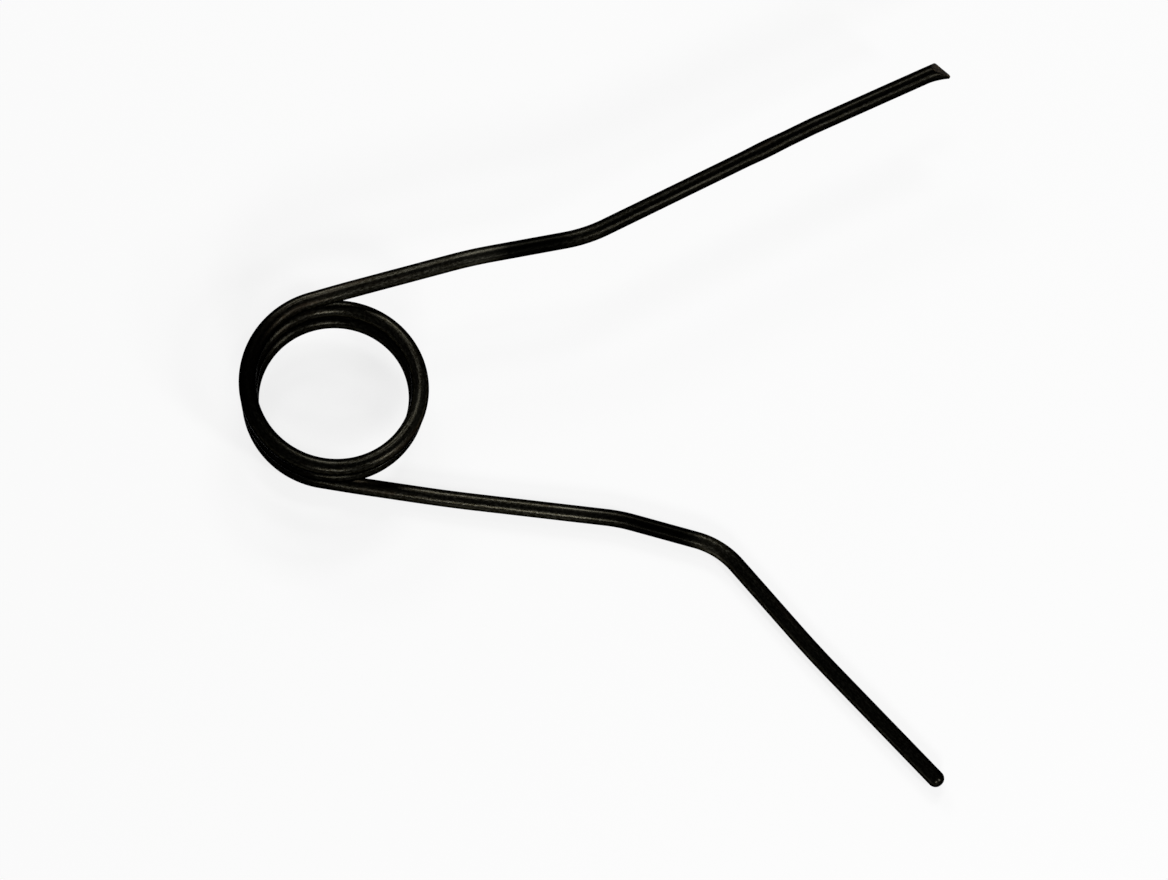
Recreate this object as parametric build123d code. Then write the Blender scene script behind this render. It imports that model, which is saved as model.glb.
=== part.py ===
from build123d import *

# Torsion spring: one length of round wire, wound left-handed into an open coil,
# with two long legs that are cranked by hand-set bends. Millimetres and degrees.
#
# Frame: +Z is the coil's axis, the origin is the middle of the coil on that axis,
# and the lower leg leaves the coil along +X. Seen from above, the wire comes in
# along the upper leg, goes round anticlockwise while it sinks, and leaves along
# the lower leg. Beyond the coil each leg lies level, square to the coil's axis.

import os
from math import atan2, degrees, radians, tan

# ---- wire and coil ----
wire_diameter = 3.0
coil_top_radius = 15.25  # axis to wire centre at the coil's top end
coil_bottom_radius = 14.5  # and at its low end: each turn winds a little tighter
turn_gap = 2.0  # clear space between one turn and the next
whole_turns = 2
arcs_per_turn = 8  # the coil's centre line is a chain of arcs that run on smoothly
leg_angle = 25.0  # plan angle between the legs where they leave the coil
slope_run = 6.0  # wire beyond the coil that still slopes as the turns do
level_radius = 60.0  # bend that brings a leg from that slope to level

# ---- upper leg: run up to each bend, the bend's turn (+ is anticlockwise) and its radius ----
upper_root_run = 29.5
upper_sag_turn = -4.8
upper_sag_radius = 90.0
upper_neck_run = 21.0
upper_crank_turn = 16.0
upper_crank_radius = 28.0
upper_arm_run = 47.0
upper_set_turn = -1.9
upper_set_radius = 60.0
upper_tip_run = 27.0

# ---- lower leg, in the same way ----
lower_root_run = 22.5
lower_bow_turn = 1.9
lower_bow_radius = 300.0
lower_neck_run = 30.7
lower_dip_turn = -9.2
lower_dip_radius = 30.0
lower_knee_run = 18.5
lower_crank_turn = -34.8
lower_crank_radius = 14.0
lower_arm_run = 25.0
lower_set_turn = 2.8
lower_set_radius = 200.0
lower_tip_run = 31.9

# ---- ends: the upper one is pinched off between two jaws, the lower one is ground round ----
edge_slant = 22.0  # pinched edge away from square, long on the side towards the lower leg
edge_land = 0.3  # thickness left at the edge
jaw_angle = 34.0  # each jaw's face, away from the wire's axis
spread_proud = 0.55  # how far the squeezed wire stands out on the edge's long side
spread_length = 2.4  # length of wire over which it spreads
spread_waist = 0.5  # share of that length that spreads only slowly
waist_growth = 0.3  # share of the spread that is reached there
long_corner = 0.5  # rounding of the edge's long corner, seen from above
short_corner = 0.25  # and of its short one
ground_flat = 0.1  # radius of the flat that is left in the middle of the ground end

# ---- what follows from them ----
wire_radius = wire_diameter / 2
turn_pitch = wire_diameter + turn_gap
turns = whole_turns + (180 - leg_angle) / 360
coil_height = turn_pitch * turns  # between wire centres
turn_taper = (coil_top_radius - coil_bottom_radius) / turns
arc_count = round(turns * arcs_per_turn)
arc_turns = turns / arc_count  # share of a turn in one arc
exit_side = -90  # the lower leg leaves where the coil crosses -Y


def coil_point(wound):
    """Centre of the wire, so many turns up from the coil's low end."""
    radius = coil_bottom_radius + turn_taper * wound
    level = turn_pitch * wound - coil_height / 2
    return Vector(radius, 0, level).rotate(Axis.Z, exit_side - 360 * wound)


def coil_heading():
    """Way of the wire at the low end: along the side of a polygon that the arcs lie in."""
    side = 2 * coil_bottom_radius * tan(radians(360 * arc_turns / 2))
    heading = Vector(turn_taper * arc_turns, -side, turn_pitch * arc_turns)
    return heading.rotate(Axis.Z, exit_side)


def coil_route():
    """Centre line of the coil, from its low end to its top end, arc by arc."""
    arcs = []
    start = coil_point(0)
    heading = coil_heading()
    for number in range(1, arc_count + 1):
        arc = TangentArc(start, coil_point(arc_turns * number), tangent=heading)
        arcs.append(arc)
        start = arc @ 1
        heading = arc % 1
    return Wire(arcs)


def leg_route(start, outward, bends, tip_run):
    """Centre line of a leg, from the coil's end at start along the unit vector outward.

    It first keeps the coil's slope, then lies level. bends is a list of
    (run, turn, radius), and tip_run is the wire after the last of them.
    """
    heading = degrees(atan2(outward.Y, outward.X))
    points = [start, start + outward * slope_run]
    radii = [level_radius]
    used = slope_run
    for run, turn, radius in bends:
        points.append(points[-1] + Vector(run - used, 0, 0).rotate(Axis.Z, heading))
        radii.append(radius)
        heading += turn
        used = 0
    points.append(points[-1] + Vector(tip_run, 0, 0).rotate(Axis.Z, heading))
    return FilletPolyline(*points, radius=radii)


def upper_leg_route(coil):
    bends = [
        (upper_root_run, upper_sag_turn, upper_sag_radius),
        (upper_neck_run, upper_crank_turn, upper_crank_radius),
        (upper_arm_run, upper_set_turn, upper_set_radius),
    ]
    return leg_route(coil @ 1, coil % 1, bends, upper_tip_run)


def lower_leg_route(coil):
    bends = [
        (lower_root_run, lower_bow_turn, lower_bow_radius),
        (lower_neck_run, lower_dip_turn, lower_dip_radius),
        (lower_knee_run, lower_crank_turn, lower_crank_radius),
        (lower_arm_run, lower_set_turn, lower_set_radius),
    ]
    return leg_route(coil @ 0, -(coil % 0), bends, lower_tip_run)


def wire_along(route, section):
    """The wire's section swept along a route."""
    return sweep(Plane(origin=route @ 0, z_dir=route % 0) * section, path=route)


def end_plane(route):
    """A plane at a leg's tip: z outward along the wire, x level and to the left of it."""
    outward = route % 1
    return Plane(origin=route @ 1, x_dir=Vector(0, 0, 1).cross(outward), z_dir=outward)


def spread_section(tip, back, growth):
    """The wire's section at a distance back from the tip, grown wide to the right only."""
    return tip * Pos(-growth / 2, 0, -back) * Ellipse(wire_radius + growth / 2, wire_radius)


def edge_outline():
    """The pinched end seen from above: x to the left of the wire, y outward along it."""
    short_side = wire_radius
    long_side = -wire_radius - spread_proud
    slope = tan(radians(edge_slant))
    corners = [
        (short_side, -spread_length),
        (short_side, -short_side * slope),
        (long_side, -long_side * slope),
        (long_side, -spread_length),
    ]
    outline = make_face(Polyline(*corners, close=True))
    outline = fillet(outline.vertices().sort_by(Axis.Y)[-1], long_corner)
    return fillet(outline.vertices().group_by(Axis.X)[-1].sort_by(Axis.Y)[-1], short_corner)


def pinched_end(leg, route):
    """Squeeze the wire's tip to an edge between two slanted faces, which spreads it."""
    tip = end_plane(route)
    square_cut = tip.offset(-spread_length)
    leg = split(leg, bisect_by=square_cut, keep=Keep.BOTTOM)
    reach = wire_diameter  # past the tip, for the cuts to take off
    end = loft([
        spread_section(tip, spread_length, 0),
        spread_section(tip, spread_length * (1 - spread_waist), spread_proud * waist_growth),
        spread_section(tip, 0, spread_proud),
        spread_section(tip, -reach, spread_proud),
    ])
    from_above = tip * Rot(90, 0, 0) * edge_outline()
    leg = leg + (end & extrude(from_above, amount=wire_diameter, both=True))
    for side in (1, -1):
        jaw = Pos(0, side * edge_land / 2, 0) * Rot(-side * (90 - jaw_angle), 0, 0)
        leg = split(leg, bisect_by=Plane(tip * Rot(0, edge_slant, 0) * jaw), keep=Keep.BOTTOM)
    return leg


def ground_end(leg, route):
    """Round the rim of the wire's tip."""
    rim = leg.edges().filter_by(GeomType.CIRCLE).sort_by_distance(route @ 1)[0]
    return fillet(rim, wire_radius - ground_flat)


def spring_wire():
    coil = coil_route()
    upper_route = upper_leg_route(coil)
    lower_route = lower_leg_route(coil)
    section = Circle(wire_radius)
    coil_section = Ellipse(wire_radius, wire_radius)  # as round, in lighter faces of revolution
    upper_leg = pinched_end(wire_along(upper_route, section), upper_route)
    lower_leg = ground_end(wire_along(lower_route, section), lower_route)
    wire = wire_along(coil, coil_section) + upper_leg + lower_leg
    length = coil.length + upper_route.length + lower_route.length
    print(f"wire length {length:.1f} mm in {turns:.2f} turns, volume {wire.volume:.0f} mm3")
    print(f"upper leg ends at {upper_route @ 1}, heading {upper_route % 1}")
    print(f"lower leg ends at {lower_route @ 1}, heading {lower_route % 1}")
    return wire


os.makedirs("parts", exist_ok=True)
export_step(spring_wire(), "parts/spring_wire.step")
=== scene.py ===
# %% [markdown]
# # A torsion spring of black steel wire
#
# One length of round wire is wound into an open coil and left with two long legs,
# which are cranked by hand-set bends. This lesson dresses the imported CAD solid: the
# same route is worked out again, Geometry Nodes lay the wire along it, and the finish is
# made of shader nodes. The scene is in metres, in the CAD frame: +Z is the coil's axis
# and the origin is the middle of the coil. Sizes are written in millimetres.

from math import atan2, cos, pi, radians, sin, sqrt, tan

import bmesh
import bpy
import numpy as np
from mathutils import Matrix, Vector, noise


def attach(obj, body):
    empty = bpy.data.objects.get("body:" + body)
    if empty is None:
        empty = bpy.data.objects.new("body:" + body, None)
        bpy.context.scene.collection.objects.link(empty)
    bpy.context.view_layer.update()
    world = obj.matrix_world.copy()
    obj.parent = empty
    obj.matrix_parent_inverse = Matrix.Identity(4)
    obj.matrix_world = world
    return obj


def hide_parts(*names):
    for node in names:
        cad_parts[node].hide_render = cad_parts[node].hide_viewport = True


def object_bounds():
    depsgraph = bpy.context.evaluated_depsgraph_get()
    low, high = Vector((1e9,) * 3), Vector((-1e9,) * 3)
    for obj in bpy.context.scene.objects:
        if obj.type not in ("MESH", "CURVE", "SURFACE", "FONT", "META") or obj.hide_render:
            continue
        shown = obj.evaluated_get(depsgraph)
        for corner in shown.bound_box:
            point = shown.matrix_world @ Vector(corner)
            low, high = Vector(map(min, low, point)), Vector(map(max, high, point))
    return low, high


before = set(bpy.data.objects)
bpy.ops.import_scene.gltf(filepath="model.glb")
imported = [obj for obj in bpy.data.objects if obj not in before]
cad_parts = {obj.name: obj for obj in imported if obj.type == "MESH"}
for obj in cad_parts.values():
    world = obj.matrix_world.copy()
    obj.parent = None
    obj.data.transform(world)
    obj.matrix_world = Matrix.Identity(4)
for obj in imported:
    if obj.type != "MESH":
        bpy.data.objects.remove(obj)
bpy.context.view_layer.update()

# %% [markdown]
# ## The sizes
#
# A spring maker works from a short list: the wire, the coil's radius at each end, the
# gap between turns, and for each leg the run up to a bend, how far it turns and how
# tight it is. They are the same numbers as in the solid, so the drawn wire lies in it.
# Only the pinched tip, further on, spreads a few tenths of a millimetre more.

# %% Sizes of the wire, the coil and the legs, in millimetres and degrees
MM = 0.001
wire_radius = 1.5
coil_top_radius, coil_bottom_radius = 15.25, 14.5
turn_pitch = 5.0
leg_angle = 25.0
whole_turns = 2
turns = whole_turns + (180 - leg_angle) / 360
slope_run, level_radius = 6.0, 60.0  # the bend that brings a leg from the coil's slope to level
# Each bend: the run up to it, its turn (+ is anticlockwise from above) and its radius.
upper_bends = [(29.5, -4.8, 90.0), (21.0, 16.0, 28.0), (47.0, -1.9, 60.0)]
upper_tip_run = 27.0
lower_bends = [(22.5, 1.9, 300.0), (30.7, -9.2, 30.0), (18.5, -34.8, 14.0), (25.0, 2.8, 200.0)]
lower_tip_run = 31.9
print(f"{turns:.2f} turns of {2 * wire_radius} mm wire")

# %% [markdown]
# ## The coil's route
#
# The coil's centre line could be drawn by hand as a spline, but a spline only comes near
# a true radius. So it is worked out by a loop over small steps: the radius grows and the
# height climbs evenly with the turn.

# %% Points along the coil
exit_side = -90  # bearing of the coil's low end, where the lower leg leaves it
coil_steps = 2400


def coil_point(wound):
    """Centre of the wire, so many turns up from the coil's low end."""
    radius = coil_bottom_radius + (coil_top_radius - coil_bottom_radius) * wound / turns
    angle = radians(exit_side - 360 * wound)
    return Vector((radius * cos(angle), radius * sin(angle), turn_pitch * (wound - turns / 2)))


def coil_way(wound):
    """Way of the wire up the coil, so many turns from its low end."""
    step = 0.001
    return (coil_point(wound + step) - coil_point(wound - step)).normalized()


coil = [coil_point(turns * step / coil_steps) for step in range(coil_steps + 1)]
print(f"{len(coil)} points on the coil, which climbs {coil[-1].z - coil[0].z:.1f} mm")

# %% [markdown]
# ## The legs' route
#
# A leg is made as on a bender: a straight run, a bend, another run. A smoothed line would
# round its corners by a rule of its own, so each corner here is rounded by an arc of the
# written radius, which touches both sides. Along the curves the points lie about a tenth
# of a millimetre apart, and a straight needs only its two ends. Legs and coil are joined
# into one route, from the upper leg's tip to the lower leg's tip.

# %% Points along the legs, and the whole route
point_gap = 0.1


def rounded(corners, radii):
    """Points along a chain of straights whose inner corners are rounded."""
    path = [corners[0]]
    for before, corner, after, radius in zip(corners, corners[1:], corners[2:], radii):
        inward = (corner - before).normalized()
        outward = (after - corner).normalized()
        angle = inward.angle(outward)
        towards = (outward - inward * inward.dot(outward)).normalized()
        start = corner - inward * radius * tan(angle / 2)
        steps = max(2, round(radius * angle / point_gap))
        for step in range(steps + 1):
            part = angle * step / steps
            path.append(start + inward * radius * sin(part) + towards * radius * (1 - cos(part)))
    return path + [corners[-1]]


def leg_points(start, outward, bends, tip_run):
    """A leg keeps the coil's slope for a little, then lies level."""
    heading = atan2(outward.y, outward.x)
    corners = [start, start + outward * slope_run]
    radii = [level_radius]
    used = slope_run
    for run, turn, radius in bends:
        corners.append(corners[-1] + Vector((cos(heading), sin(heading), 0)) * (run - used))
        radii.append(radius)
        heading += radians(turn)
        used = 0
    corners.append(corners[-1] + Vector((cos(heading), sin(heading), 0)) * tip_run)
    return rounded(corners, radii)


upper_leg = leg_points(coil[-1], coil_way(turns), upper_bends, upper_tip_run)
lower_leg = leg_points(coil[0], -coil_way(0), lower_bends, lower_tip_run)
route = upper_leg[::-1] + coil[::-1][1:] + lower_leg[1:]
print(f"{len(route)} points, tips at {route[0][:]} and {route[-1][:]}")

# %% [markdown]
# ## Rings where they are needed
#
# The wire becomes a skin of rings. They could all lie equally close, but that would spend
# most of them on plain wire, where one every 0.4 mm is plenty. The ground end rounds over
# within 1.4 mm and the pinched end spreads within 3.4 mm, so rings crowd together there.

# %% Where the rings lie along the wire, from the pinched tip
round_over, round_over_rings = 1.4, 14  # at the ground end
rim, rim_rings = 0.12, 4  # at the pinched end
spread_from, spread_to, spread_ring_gap = 0.2, 3.6, 0.12  # over the pinched end's spread
plain_ring_gap = 0.4
plain_rings_stop = 1.6  # so far before the ground end

gaps = [(after - before).length for before, after in zip(route, route[1:])]
place_of_point = np.concatenate([[0], np.cumsum(gaps)])
wire_length = float(place_of_point[-1])


def crowded(start, end, count):
    """Places from start to end that lie closest at the start."""
    return [start + (end - start) * (1 - cos(pi / 2 * k / count)) for k in range(count + 1)]


ring_places = crowded(0, rim, rim_rings)
ring_places += list(np.arange(spread_from, spread_to, spread_ring_gap))
ring_places += list(np.arange(spread_to, wire_length - plain_rings_stop, plain_ring_gap))
ring_places += [wire_length - place for place in crowded(0, round_over, round_over_rings)]
ring_places = np.unique(np.round(ring_places, 5))
print(f"wire {wire_length:.1f} mm long, {len(ring_places)} rings")

# %% [markdown]
# ## A bare line that carries the radii
#
# A sweep follows a line, so the rings' centres are joined by edges into one. The ends
# could be shaped after the sweep, but it is simpler to let each ring know its share of the
# full radius beforehand. It shrinks at the ground end as a quarter circle does, and a
# trace at the pinched end, whose rim isn't knife sharp.

# %% The line of ring centres, with a radius share on each
def ring_share(place):
    """The ring's share of the full radius."""
    for depth, reach in ((rim, place), (round_over, wire_length - place)):
        if reach < depth:
            into = 1 - max(0, reach) / depth
            return 1 - depth / wire_radius * (1 - sqrt(1 - into**2))
    return 1


def route_line():
    """The rings' centres as a mesh of edges, in metres."""
    along_route = np.array([point[:] for point in route])
    centres = [np.interp(ring_places, place_of_point, along_route[:, axis]) for axis in range(3)]
    centres = np.stack(centres, 1) * MM
    line = bpy.data.meshes.new("route_line")
    line.from_pydata(centres.tolist(), [(k, k + 1) for k in range(len(centres) - 1)], [])
    shares = line.attributes.new("ring_share", "FLOAT", "POINT")
    shares.data.foreach_set("value", [ring_share(place) for place in ring_places])
    return line


wire = bpy.data.objects.new("wire", route_line())
bpy.context.scene.collection.objects.link(wire)
print(f"the line has {len(wire.data.edges)} edges")

# %% [markdown]
# ## Arithmetic on sockets
#
# Node trees grow quickly: a sum of three values already takes two nodes and their links.
# `Signal` wraps a socket, so that plain arithmetic on it adds the Math nodes. It serves
# the geometry and the materials alike.

# %% A value to calculate with
class Signal:
    """The output of some node, as a value to calculate with."""

    def __init__(self, board, socket):
        self.board, self.socket = board, socket

    def math(self, operation, *values):
        return self.board.node("ShaderNodeMath", {"operation": operation}, dict(enumerate(values)))

    def __add__(self, other):
        return self.math("ADD", self, other)

    def __sub__(self, other):
        return self.math("SUBTRACT", self, other)

    def __rsub__(self, other):
        return self.math("SUBTRACT", other, self)

    def __mul__(self, other):
        return self.math("MULTIPLY", self, other)

    def __truediv__(self, other):
        return self.math("DIVIDE", self, other)

    def __pow__(self, other):
        return self.math("POWER", self, other)

    def __neg__(self):
        return self.math("MULTIPLY", self, -1)

    def __abs__(self):
        return self.math("ABSOLUTE", self)

    __radd__ = __add__
    __rmul__ = __mul__


print("Signal does arithmetic on sockets")

# %% [markdown]
# ## A board for the other nodes
#
# Every other node would take the same few lines, so one method adds them all: `node`
# takes the settings first, then the values or links of the sockets. The methods after it
# are for the kinds that come back often.

# %% A board to put nodes on
class Board:
    """A node tree, to which nodes are added."""

    def __init__(self, tree):
        self.tree = tree

    def node(self, kind, settings=None, sockets=None, out=0):
        """Add a node: settings first, then each socket's value or link."""
        made = self.tree.nodes.new(kind)
        for name, value in (settings or {}).items():
            setattr(made, name, value)
        for key, value in (sockets or {}).items():
            if isinstance(value, Signal):
                self.tree.links.new(value.socket, made.inputs[key])
            else:
                made.inputs[key].default_value = value
        return Signal(self, made.outputs[out]) if made.outputs else made

    def ramp(self, value, low, high, to_low=0.0, to_high=1.0, shape="SMOOTHSTEP"):
        """value taken from low..high to to_low..to_high, and held there beyond both."""
        sockets = {"Value": value, "From Min": low, "From Max": high}
        sockets.update({"To Min": to_low, "To Max": to_high})
        return self.node("ShaderNodeMapRange", {"interpolation_type": shape}, sockets)

    def graded(self, value, stops):
        """A level read off a list of (place, level), evenly from one stop to the next."""
        grade = self.node("ShaderNodeValToRGB", None, {"Fac": value})
        ramp = grade.socket.node.color_ramp
        for place, level in stops[1:-1]:
            ramp.elements.new(place).color = (level, level, level, 1)
        for end in (0, -1):
            place, level = stops[end]
            ramp.elements[end].position = place
            ramp.elements[end].color = (level, level, level, 1)
        return grade

    def mix(self, share, first, second):
        """Two colours blended: share is how much there is of the second."""
        sockets = {0: share, 6: first, 7: second}
        return self.node("ShaderNodeMix", {"data_type": "RGBA"}, sockets, out=2)

    def vectors(self, operation, first, second):
        """Two vectors, added, multiplied or taken together in another way."""
        out = 1 if operation == "DOT_PRODUCT" else 0
        sockets = {0: first, 1: second}
        return self.node("ShaderNodeVectorMath", {"operation": operation}, sockets, out)

    def scaled(self, vector, amount):
        """A vector or a colour, times a value."""
        sockets = {0: vector, "Scale": amount}
        return self.node("ShaderNodeVectorMath", {"operation": "SCALE"}, sockets)

    def split(self, vector):
        """The three parts of a vector."""
        apart = self.node("ShaderNodeSeparateXYZ", None, {0: vector}).socket.node
        return [Signal(self, socket) for socket in apart.outputs]

    def store(self, geometry, name, value, kind):
        """Keep a value on every point of a geometry, under a name."""
        sockets = {"Geometry": geometry, "Name": name, "Value": value}
        return self.node("GeometryNodeStoreNamedAttribute", {"data_type": kind}, sockets)

    def stored(self, name, kind):
        """Read such a value again, in the same tree."""
        return self.node("GeometryNodeInputNamedAttribute", {"data_type": kind}, {"Name": name})


print("Board puts nodes on a tree")

# %% [markdown]
# ## Laying the wire with Geometry Nodes
#
# A wire is the plainest case of a section that follows a path. A curve with a bevel would
# draw it in one step, but would forget where each point came from. So a node tree sweeps
# a circle along the line, and each point of the skin keeps two marks from before it was
# bent: how far along the wire it lies, and where on the round section. Together they are
# the coordinates of the straight rod that the spring was wound from, stored as `rod`. The
# tool marks and the finish are placed on that rod, so they follow every bend.

# %% The tree's inputs, and the sweep
INPUTS = {
    "Route": "Geometry", "Wire Radius": "Float", "Sides": "Int",
    "Unevenness": "Float", "Seed": "Int",
    "Grip Place": "Float", "Grip Length": "Float", "Grip Spread": "Float",
    "Tip": "Vector", "Tip Left": "Vector", "Tip Outward": "Vector",
    "Spread Proud": "Float", "Spread Length": "Float",
    "Edge Slope": "Float", "Edge Land": "Float", "Jaw Slope": "Float",
    "Long Corner": "Float", "Short Corner": "Float", "Tear Depth": "Float",
    "Finish": "Material",
}


def swept(board, given):
    """The skin of the plain wire, and how far along the wire each point lies."""
    line = board.node("GeometryNodeMeshToCurve", None, {"Mesh": given["Route"]})
    line = board.node("GeometryNodeSetCurveNormal", {"mode": "Z_UP"}, {"Curve": line})
    line = board.store(line, "along", board.node("GeometryNodeSplineParameter", out=1), "FLOAT")
    size = {"Resolution": given["Sides"], "Radius": given["Wire Radius"]}
    section = board.node("GeometryNodeCurvePrimitiveCircle", {"mode": "RADIUS"}, size)
    here = board.node("GeometryNodeInputPosition")
    section = board.store(section, "around", here, "FLOAT_VECTOR")
    share = board.stored("ring_share", "FLOAT")
    parts = {"Curve": line, "Profile Curve": section, "Scale": share}
    skin = board.node("GeometryNodeCurveToMesh", None, parts)
    along = board.stored("along", "FLOAT")
    side, height, _ = board.split(board.stored("around", "FLOAT_VECTOR"))
    rod = board.node("ShaderNodeCombineXYZ", None, {0: along, 1: side * share, 2: height * share})
    return board.store(skin, "rod", rod, "FLOAT_VECTOR"), along


print(f"{len(INPUTS)} inputs for the tree")

# %% [markdown]
# ## Unevenness and the grip mark
#
# Drawn wire is never quite even: it breathes by a few thousandths of a millimetre. Pliers
# gripped the upper leg once, and left it a little wide there, level with the legs, and a
# little thin upright. Both could be sculpted by hand, but here they are moves of the
# points along their own normals, so they can be set by a number. The seed makes the noise
# come out the same each time.

# %% Two moves of the skin
swells = 160.0  # in a metre of wire


def worked(board, given, skin, along):
    """The skin with the wire's unevenness and the mark of the pliers."""
    sockets = {"Vector": board.stored("rod", "FLOAT_VECTOR"), "W": given["Seed"]}
    sockets.update({"Scale": swells, "Detail": 2.0})
    settings = {"noise_dimensions": "4D", "normalize": False}
    drift = board.node("ShaderNodeTexNoise", settings, sockets)
    outward = board.node("GeometryNodeInputNormal")
    swell = board.scaled(outward, drift * given["Unevenness"])
    nearness = board.ramp(1 - abs((along - given["Grip Place"]) / given["Grip Length"]), 0.0, 1.0)
    gripped = board.vectors("MULTIPLY", outward, (1.0, 1.0, -1.0))
    grip = board.scaled(gripped, nearness * given["Grip Spread"])
    moves = board.vectors("ADD", swell, grip)
    return board.node("GeometryNodeSetPosition", None, {"Geometry": skin, "Offset": moves})


print("two moves for the plain wire")

# %% [markdown]
# ## The pinched tip
#
# The cutter pinched the tip off between two jaws. That spread it to one side and left two
# slanted faces, which meet in a slanted edge. A boolean could cut them, but its new faces
# would know nothing of the rod, so the tip's own rings are moved into that shape: sideways
# for the spread, and forward to the edge. The jaws' faces then hold them down to a height
# that grows with the way back from the edge. Where a face presses, the point is marked
# `pressed`, and its surface is torn a little.

# %% Shape the tip
flare = 1.74  # 1 would spread evenly, and more keeps the spread near the edge
jaw_touch = -0.02 * MM, 0.06 * MM  # from untouched to pressed, as height over a jaw's face
jaw_blend = 0.12 * MM  # rounding where a jaw's face runs into the wire
tears = 1500.0  # in a metre
tear_bias = 0.35  # the torn surface lies rather low than high
tip_length = 4.0 * MM  # beyond it no point is moved


def corner(board, over, radius):
    """How far a corner of the edge is rounded away, where it's so far over its start."""
    share = board.ramp(over / radius, 0.0, 1.0, shape="LINEAR")
    return (1 - (1 - share**2)**0.5) * radius


def torn_noise(board):
    """Noise for the torn faces."""
    sockets = {"Vector": board.stored("rod", "FLOAT_VECTOR"), "Scale": tears}
    sockets.update({"Detail": 3.0, "Roughness": 0.6})
    return board.node("ShaderNodeTexNoise", {"normalize": False}, sockets)


def pinched(board, given, skin, along):
    """The skin with its tip spread to the right, drawn out to the edge and pressed flat."""
    here = board.node("GeometryNodeInputPosition")
    from_tip = board.vectors("SUBTRACT", here, given["Tip"])
    left = board.vectors("DOT_PRODUCT", from_tip, given["Tip Left"])
    _, _, up = board.split(from_tip)
    reach = board.ramp(along, 0.0, given["Spread Length"], 1.0, 0.0, "LINEAR")
    to_left = (left / given["Wire Radius"] - 1) / 2 * reach**flare * given["Spread Proud"]
    spread = left + to_left

    long_side = given["Wire Radius"] + given["Spread Proud"] - given["Long Corner"]
    short_side = given["Wire Radius"] - given["Short Corner"]
    rounding = corner(board, -spread - long_side, given["Long Corner"])
    rounding = rounding + corner(board, spread - short_side, given["Short Corner"])
    drawn_out = -(spread * given["Edge Slope"] + rounding) * reach

    depth = along - spread * given["Edge Slope"] * (1 - reach)
    limit = depth * given["Jaw Slope"] + given["Edge Land"] / 2
    pressed = board.ramp(abs(up) - limit, *jaw_touch)
    skin = board.store(skin, "pressed", pressed, "FLOAT")
    held = up.math("SMOOTH_MIN", abs(up), limit, jaw_blend)
    held = held - pressed * (torn_noise(board) + tear_bias) * given["Tear Depth"]

    upward = board.node("ShaderNodeCombineXYZ", None, {2: up.math("SIGN", up) * held - up})
    moves = board.vectors("ADD", board.scaled(given["Tip Left"], to_left), upward)
    moves = board.vectors("ADD", moves, board.scaled(given["Tip Outward"], drawn_out))
    near_tip = along.math("LESS_THAN", along, tip_length)
    sockets = {"Geometry": skin, "Selection": near_tip, "Offset": moves}
    return board.node("GeometryNodeSetPosition", None, sockets)


print("the tip's shape is ready to go in the tree")

# %% [markdown]
# ## The tree as a whole
#
# The wire goes through the three steps in turn, as it did in the shop: drawn, bent and
# gripped, cut off. One long function could hold them all, but three short ones are easier
# to try out one by one. The last nodes make the skin smooth and real and give it its finish.

# %% Put the tree together
def wire_tree():
    """The tree that lays the wire, from the bare line to the skin."""
    tree = bpy.data.node_groups.new("laid_wire", "GeometryNodeTree")
    tree.interface.new_socket("Wire", in_out="OUTPUT", socket_type="NodeSocketGeometry")
    for name, kind in INPUTS.items():
        tree.interface.new_socket(name, in_out="INPUT", socket_type="NodeSocket" + kind)
    board = Board(tree)
    group = tree.nodes.new("NodeGroupInput")
    given = {name: Signal(board, group.outputs[name]) for name in INPUTS}

    skin, along = swept(board, given)
    skin = worked(board, given, skin, along)
    skin = pinched(board, given, skin, along)
    skin = board.node("GeometryNodeSetShadeSmooth", None, {"Geometry": skin})
    skin = board.node("GeometryNodeRealizeInstances", None, {"Geometry": skin})
    sockets = {"Geometry": skin, "Material": given["Finish"]}
    skin = board.node("GeometryNodeSetMaterial", None, sockets)
    tree.links.new(skin.socket, tree.nodes.new("NodeGroupOutput").inputs[0])
    return tree


laid_wire = wire_tree()
print(f"{len(laid_wire.nodes)} nodes lay the wire")

# %% [markdown]
# ## The finish: black oxide on drawn steel
#
# Spring wire is drawn through a die, which leaves fine lines along it, then hardened
# and blackened. The black is a thin film of oxide under a trace of oil: it drinks light
# and shows only soft streaks of the lamps. A glossy paint would do for that at first,
# but paint turns pale at its flanks, where it mirrors the floor. A metal that gives back
# about a hundredth of the light, with its edge tint held down too, stays black there.
#
# The film is thin in some lengths of the wire and thick in others, as it was handled.
# The same levels also paint light: they brighten the film into painted glints at the bends
# and a painted highlight along part of the coil, and they darken other parts of the coil
# into painted shade. It could be painted on, but a list of those lengths is easier to read
# and to change: the list holds places along the wire and how strongly the film shines
# there, and a colour ramp runs evenly from one to the next.

# %% How worn the film is, with painted highlights and painted shade: millimetres from the pinched tip, and a level
# The peaks near 75, 95 and 422 mm paint glints at bends. The rises and dips along the coil, from 124 to
# 352 mm, paint its highlight and its shade.
WEAR_AND_SHEEN = [
    (0, 0.65), (70, 0.6), (75, 1.4), (79, 0.25), (88, 0.25), (92, 2.2), (95, 3.2), (98, 2.5),
    (124, 2.2), (134, 0.3), (146, 0.3), (156, 1.1), (172, 1.2), (186, 2.6), (206, 2.4),
    (220, 1.4), (236, 0.3), (256, 0.3), (268, 1.0), (292, 1.2), (316, 1.0), (330, 0.3),
    (350, 0.4), (362, 1.6), (374, 2.4), (395, 2.3), (408, 0.25), (418, 0.2), (421, 4.2),
    (424, 4.2), (427, 1.7), (wire_length, 1.3)]
BRIGHTEST_LEVEL = 5  # a ramp's levels end at 1, so they are shares of this


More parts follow.
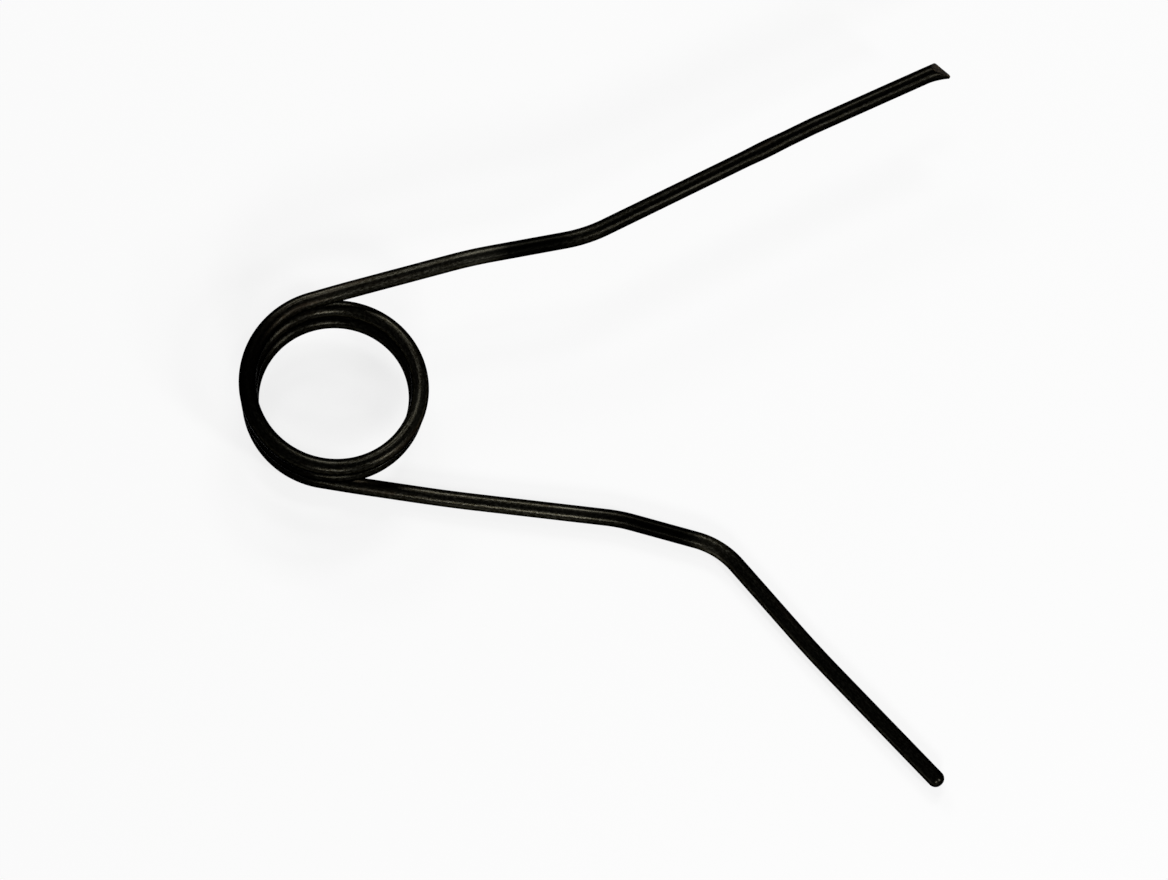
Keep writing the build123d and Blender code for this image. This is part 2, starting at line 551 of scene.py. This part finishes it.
def wear_and_sheen_along(board, rod):
    """How strongly the film shines, by the place along the rod: its wear, with painted glints, a
    painted highlight and painted shade.
    """
    place = board.split(rod)[0] / (wire_length * MM)
    stops = [(where / wire_length, level / BRIGHTEST_LEVEL) for where, level in WEAR_AND_SHEEN]
    return board.graded(place, stops) * BRIGHTEST_LEVEL


print(f"{len(WEAR_AND_SHEEN)} places, the brightest at level {max(level for _, level in WEAR_AND_SHEEN)}")

# %% [markdown]
# ## The film's patterns
#
# Up close the film isn't even. An image could show that, but would have to be wrapped
# round the wire, so all that varies is noise on the rod's own coordinates. Stretched far
# along the wire it makes the drawn lines, and stretched a little it makes the grain. In
# larger clouds it makes the spots that tools rubbed and the patches that turn brown.
# Where the jaws tore the steel there is no film at all: that mark comes from the tree
# above, and the bare steel there is rough and brownish, with grain that isn't stretched.

# %% Patterns and colours of the wire
# Each: spots in a metre along the wire, spots in a metre across it, layers of finer
# detail, and how strong each layer is against the one before.
DRAWN_LINES = 150, 4200, 2, 0.55
GRAIN = 1500, 3400, 3, 0.6
RUBBED_SPOTS = 60, 260, 3, 0.55
BROWN_PATCHES = 45, 420, 4, 0.65
TORN_GRAIN = 1900, 1900, 3, 0.6

THICK_FILM, THIN_FILM = (0.0033, 0.0029, 0.0018, 1), (0.0128, 0.0123, 0.0096, 1)
RUBBED_FILM, BROWN_FILM = (0.016, 0.0155, 0.012, 1), (0.0085, 0.0058, 0.0038, 1)
TORN_HOLLOWS, TORN_PEAKS = (0.006, 0.0042, 0.0022, 1), (0.05, 0.037, 0.02, 1)


def cloud(board, rod, along, across, detail, rough):
    """Noise on the rod's own coordinates."""
    where = board.vectors("MULTIPLY", rod, (along, across, across))
    sockets = {"Vector": where, "Scale": 1.0, "Detail": detail, "Roughness": rough}
    return board.node("ShaderNodeTexNoise", None, sockets)


print("the film goes from", THICK_FILM[:3], "to", THIN_FILM[:3])

# %% [markdown]
# ## The material
#
# The patterns come together here. The relief of lines and grain is far finer than a ring,
# so it is a bump and not a shape. A value that is the same all over, such as the metal's
# edge tint, sits on the shader's own socket.

# %% The black wire's material
relief_depth = 0.06 * MM


def black_wire_finish():
    """Black oxide along the wire, and bare torn steel where the jaws pressed."""
    material = bpy.data.materials.new("black_oxide_wire")
    material.use_nodes = True
    material.node_tree.nodes.clear()
    board = Board(material.node_tree)

    def kept(name, out):
        settings = {"attribute_type": "GEOMETRY", "attribute_name": name}
        return board.node("ShaderNodeAttribute", settings, out=out)

    rod, pressed = kept("rod", 1), kept("pressed", 2)
    lines, grain = cloud(board, rod, *DRAWN_LINES), cloud(board, rod, *GRAIN)
    rubbed = board.ramp(cloud(board, rod, *RUBBED_SPOTS), 0.50, 0.72)
    brown = board.ramp(cloud(board, rod, *BROWN_PATCHES), 0.56, 0.74)
    film = board.mix(board.ramp(grain, 0.40, 0.70), THICK_FILM, THIN_FILM)
    film = board.mix(rubbed * 0.4, film, RUBBED_FILM)
    film = board.mix(brown * 0.5, film, BROWN_FILM)
    # the film scaled by its wear, with painted glints at the bends and a painted highlight and painted
    # shade on the coil
    film = board.scaled(film, wear_and_sheen_along(board, rod))
    torn = board.ramp(cloud(board, rod, *TORN_GRAIN), 0.52, 0.64)
    colour = board.mix(pressed, film, board.mix(torn, TORN_HOLLOWS, TORN_PEAKS))

    relief = {"Strength": 0.25, "Distance": relief_depth, "Height": lines * 0.5 + grain}
    bump = board.node("ShaderNodeBump", None, relief)
    gloss = 0.27 + (grain - 0.5) * 0.20 + brown * 0.10 - rubbed * 0.04 + pressed * 0.35
    shader = board.node(
        "ShaderNodeBsdfPrincipled", None,
        {"Base Color": colour, "Metallic": 1 - pressed, "Roughness": gloss,
         "Specular IOR Level": 0.12, "Specular Tint": (0.03, 0.03, 0.03, 1), "Normal": bump})
    board.node("ShaderNodeOutputMaterial", None, {"Surface": shader})
    return material


black_wire = black_wire_finish()
print("finish:", black_wire.name)

# %% [markdown]
# ## From nodes to a plain mesh
#
# The tree's inputs are set by the identifiers of their sockets, before the object is
# looked at for the first time. A live modifier would do for a picture, but a piece that
# others use is safer as a plain mesh. So the result is frozen into a mesh of its own, and
# the modifier goes.

# %% Lay the wire and freeze it
tip = route[0]
tip_outward = (route[0] - route[1]).normalized()
tip_left = Vector((0, 0, 1)).cross(tip_outward)
edge_slant, jaw_angle = radians(22), radians(34)
given_values = {
    "Wire Radius": wire_radius * MM, "Sides": 40, "Unevenness": 0.006 * MM, "Seed": 7,
    "Grip Place": 37.0 * MM, "Grip Length": 5.0 * MM, "Grip Spread": 0.10 * MM,
    "Tip": tip * MM, "Tip Left": tip_left, "Tip Outward": tip_outward,
    "Spread Proud": 0.85 * MM, "Spread Length": 3.4 * MM,
    "Edge Slope": tan(edge_slant), "Edge Land": 0.5 * MM,
    "Jaw Slope": cos(edge_slant) * tan(jaw_angle),
    "Long Corner": 0.7 * MM, "Short Corner": 0.25 * MM, "Tear Depth": 0.04 * MM,
    "Finish": black_wire,
}


def frozen(line, tree, values):
    """The mesh that the tree makes of the line."""
    layer = line.modifiers.new("laid_wire", "NODES")
    layer.node_group = tree
    for socket in tree.interface.items_tree:
        if socket.in_out == "INPUT" and socket.name in values:
            layer[socket.identifier] = values[socket.name]
    depsgraph = bpy.context.evaluated_depsgraph_get()
    mesh = bpy.data.meshes.new_from_object(line.evaluated_get(depsgraph))
    line.modifiers.remove(layer)
    return mesh


wire.data = frozen(wire, laid_wire, given_values)
print(f"{len(wire.data.vertices)} points, {len(wire.data.polygons)} faces")

# %% [markdown]
# ## Closing the ends
#
# The sweep leaves both ends open. One flat face would close each, but it has no points in
# its middle to carry any grain. So each is closed by rings that shrink towards the middle
# of the last one. The ground end is smooth. The strip that the jaws left at the edge is
# torn, so its points are pushed in and out by noise, least at the rim.

# %% Shrinking rings over an opening
strip_grain = 2.2  # spots in a millimetre


def way_out(rim_edges, middle):
    """The way that a round opening looks, inwards or outwards."""
    facing = Vector()
    for edge in rim_edges:
        first, second = (vertex.co - middle for vertex in edge.verts)
        normal = first.cross(second)
        facing += normal if normal.dot(facing) >= 0 else -normal
    return facing.normalized()


def close_end(shape, rod, rim_edges, rings, roughness):
    """Fill a round opening with shrinking rings; roughness is how far they stray."""
    points = list(dict.fromkeys(vertex for edge in rim_edges for vertex in edge.verts))
    middle = sum((vertex.co for vertex in points), Vector()) / len(points)
    rod_middle = Vector((points[0][rod].x, 0, 0))
    facing = way_out(rim_edges, middle)
    edges = rim_edges
    for ring in range(1, rings):
        shrink = (rings - ring) / (rings - ring + 1)
        made = bmesh.ops.extrude_edge_only(shape, edges=edges)["geom"]
        edges = [item for item in made if isinstance(item, bmesh.types.BMEdge) and item.is_boundary]
        depth = min(1, 3 * ring / rings)
        for vertex in {vertex for edge in edges for vertex in edge.verts}:
            vertex.co = middle + (vertex.co - middle) * shrink
            vertex[rod] = rod_middle + (vertex[rod] - rod_middle) * shrink
            vertex.co += facing * noise.noise(vertex.co / MM * strip_grain) * roughness * depth
    bmesh.ops.contextual_create(shape, geom=edges)


print("rings can close an end")

# %% [markdown]
# ## Both ends
#
# The two openings are told apart by their place along the rod. Faces that are added may
# look either way, so all of them are turned outwards at the end.

# %% Close both ends
def close_ends(mesh):
    """Close the wire's two ends and turn its faces outwards."""
    shape = bmesh.new()
    shape.from_mesh(mesh)
    rod = shape.verts.layers.float_vector["rod"]
    open_edges = [edge for edge in shape.edges if edge.is_boundary]
    half = wire_length * MM / 2
    pinched_rim = [edge for edge in open_edges if edge.verts[0][rod].x < half]
    ground_rim = [edge for edge in open_edges if edge.verts[0][rod].x >= half]
    close_end(shape, rod, pinched_rim, rings=6, roughness=0.03 * MM)
    close_end(shape, rod, ground_rim, rings=3, roughness=0)
    for face in shape.faces:
        face.smooth = True
    bmesh.ops.recalc_face_normals(shape, faces=shape.faces)
    shape.to_mesh(mesh)
    still_open = sum(edge.is_boundary for edge in shape.edges)
    print(f"volume {shape.calc_volume() / MM**3:.0f} mm3, open edges {still_open}")
    shape.free()


close_ends(wire.data)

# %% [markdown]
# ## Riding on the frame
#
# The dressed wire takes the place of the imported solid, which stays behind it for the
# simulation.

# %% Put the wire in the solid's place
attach(wire, "root")
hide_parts("spring_wire")
print("the wire stands for spring_wire")

# %% [markdown]
# ## The floor
#
# The spring lies on a pale floor. More light would turn that white, but would also wash
# out the spring. So the floor itself shows white to the camera and to shiny things, and
# is mixed with a matt surface that keeps a trace of shadow.

# %% The floor
white_share = 0.8
floor_size = 6


def floor_finish():
    """White where it is seen, and matt to the light."""
    material = bpy.data.materials.new("pale_floor")
    material.use_nodes = True
    material.node_tree.nodes.clear()
    board = Board(material.node_tree)
    rays = board.node("ShaderNodeLightPath").socket.node.outputs
    names = ("Is Camera Ray", "Is Glossy Ray", "Is Transmission Ray")
    camera_ray, glossy_ray, transmission_ray = (Signal(board, rays[name]) for name in names)
    seen = camera_ray + glossy_ray + transmission_ray
    white = board.node("ShaderNodeEmission", None, {"Color": (1, 1, 1, 1), "Strength": 1.0})
    matt = board.node("ShaderNodeBsdfDiffuse", None, {"Color": (0.85, 0.85, 0.85, 1)})
    share = seen.math("MINIMUM", seen, 1.0) * white_share
    both = board.node("ShaderNodeMixShader", None, {0: share, 1: matt, 2: white})
    board.node("ShaderNodeOutputMaterial", None, {"Surface": both})
    return material


spring_middle = Vector((0.045, 0.01, 0))
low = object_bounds()[0][2]
hair = 0.0001  # the floor lies so far under the wire
bpy.ops.mesh.primitive_plane_add(size=floor_size, location=(spring_middle.x, 0, low - hair))
floor = bpy.context.object
floor.name = "floor"
floor.data.materials.append(floor_finish())
print(f"floor at {low / MM:.2f} mm")

# %% [markdown]
# ## The lamps
#
# Black wire shows nothing but what it mirrors. A lamp that is a point would draw a hard
# spark on it, so each one is a soft rectangle, which draws a line along the wire. Three
# of them stand behind the spring, at different heights, one to its right and one in
# front. The lamps and the room together give plain light, in which a colour looks about
# as it is written.

# %% The lamps and the world
lamp_distance = 0.9
room_light = 0.12


def lamp(name, bearing, height, across, upright, radiance):
    """A soft rectangle that faces the spring; across is its level side, upright the other."""
    bearing, height = radians(bearing), radians(height)
    way = Vector((cos(bearing) * cos(height), sin(bearing) * cos(height), sin(height)))
    data = bpy.data.lights.new(name, "AREA")
    data.shape = "RECTANGLE"
    data.size, data.size_y = across, upright
    data.energy = radiance * pi * across * upright
    made = bpy.data.objects.new(name, data)
    made.location = spring_middle + way * lamp_distance
    made.rotation_euler = way.to_track_quat("Z", "Y").to_euler()
    bpy.context.scene.collection.objects.link(made)


lamp("lamp_behind", 88, 42, 0.30, 0.18, 14.0)
lamp("lamp_far_left", 113, 58, 0.34, 0.16, 5.0)
lamp("lamp_low_behind", 122, 30, 0.30, 0.16, 12.0)
lamp("lamp_right", -31, 38, 0.12, 0.34, 26.0)
lamp("lamp_in_front", -79, 30, 0.26, 0.16, 27.0)
world = bpy.data.worlds.new("dim_room")
world.use_nodes = True
room = world.node_tree.nodes["Background"].inputs
room["Color"].default_value = (1, 1, 1, 1)
room["Strength"].default_value = room_light
bpy.context.scene.world = world
print(len(bpy.data.lights), "lamps and a dim room")

# %% [markdown]
# ## The camera
#
# The camera looks down on the coil, a little from the front, and leans to one side. It
# could be aimed at a point by a constraint, but three turns, one after another, give the
# lean as well. A long lens from far away keeps the turns of the coil nearly the same size.

# %% The camera
camera_turn, camera_tilt, camera_lean = 10.259, -18.582, -18.411  # degrees
camera_place = Vector((43.855, -8.505, 596.49))  # millimetres, before the turns
sensor_width = 36
focal_length, picture_width = 3400, 1168  # both in pixels


def place_camera():
    """The camera, with its long lens, turned, tilted and leaned over the spring."""
    view = Matrix.Rotation(radians(camera_lean), 3, "Z") @ Matrix.Rotation(radians(camera_tilt), 3, "X")
    view = view @ Matrix.Rotation(radians(camera_turn), 3, "Z")
    data = bpy.data.cameras.new("camera")
    data.sensor_width = sensor_width
    data.lens = sensor_width * focal_length / picture_width
    data.clip_start = 0.05
    camera = bpy.data.objects.new("camera", data)
    turned = view.transposed()
    place = Matrix.Translation(turned @ camera_place * MM)
    camera.matrix_world = place @ turned.to_4x4()
    bpy.context.scene.collection.objects.link(camera)
    bpy.context.scene.camera = camera
    return camera


camera = place_camera()
bpy.context.scene.view_settings.view_transform = "Standard"
print("camera at", [round(value / MM, 1) for value in camera.matrix_world.translation])
